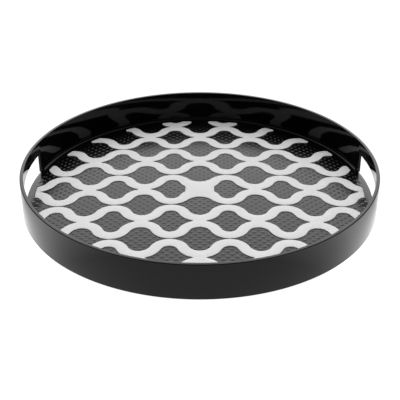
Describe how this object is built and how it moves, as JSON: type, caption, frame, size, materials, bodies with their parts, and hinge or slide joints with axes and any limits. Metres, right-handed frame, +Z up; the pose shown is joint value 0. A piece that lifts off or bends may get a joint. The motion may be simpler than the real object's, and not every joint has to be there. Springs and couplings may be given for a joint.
{
  "type": "serving tray",
  "caption": "Round serving tray with an upright wall, a carrying opening through the wall at each side, and light anti-slip wave strips on a crowned textured floor.",
  "frame": {"origin": "on the tray's centre line, on the surface that its foot pads stand on", "axes": "+Z up along the tray's round axis; +X and -X towards the two carrying openings"},
  "size_m": [0.38, 0.38, 0.0394],
  "materials": {
    "tray_plastic": "glossy black moulded plastic, fine honeycomb grain on the floor",
    "grip_rubber": "smooth matt light grey anti-slip rubber",
    "pad_rubber": "matt black soft rubber"
  },
  "bodies": {
    "root": {"tray_body": "tray_plastic", "grip_strip_front_outer": "grip_rubber", "grip_strip_front_inner": "grip_rubber", "grip_strip_centre": "grip_rubber", "grip_strip_rear_inner": "grip_rubber", "grip_strip_rear_outer": "grip_rubber", "foot_pad_1": "pad_rubber", "foot_pad_2": "pad_rubber", "foot_pad_3": "pad_rubber", "foot_pad_4": "pad_rubber", "foot_pad_5": "pad_rubber", "foot_pad_6": "pad_rubber"}
  },
  "joints": []
}
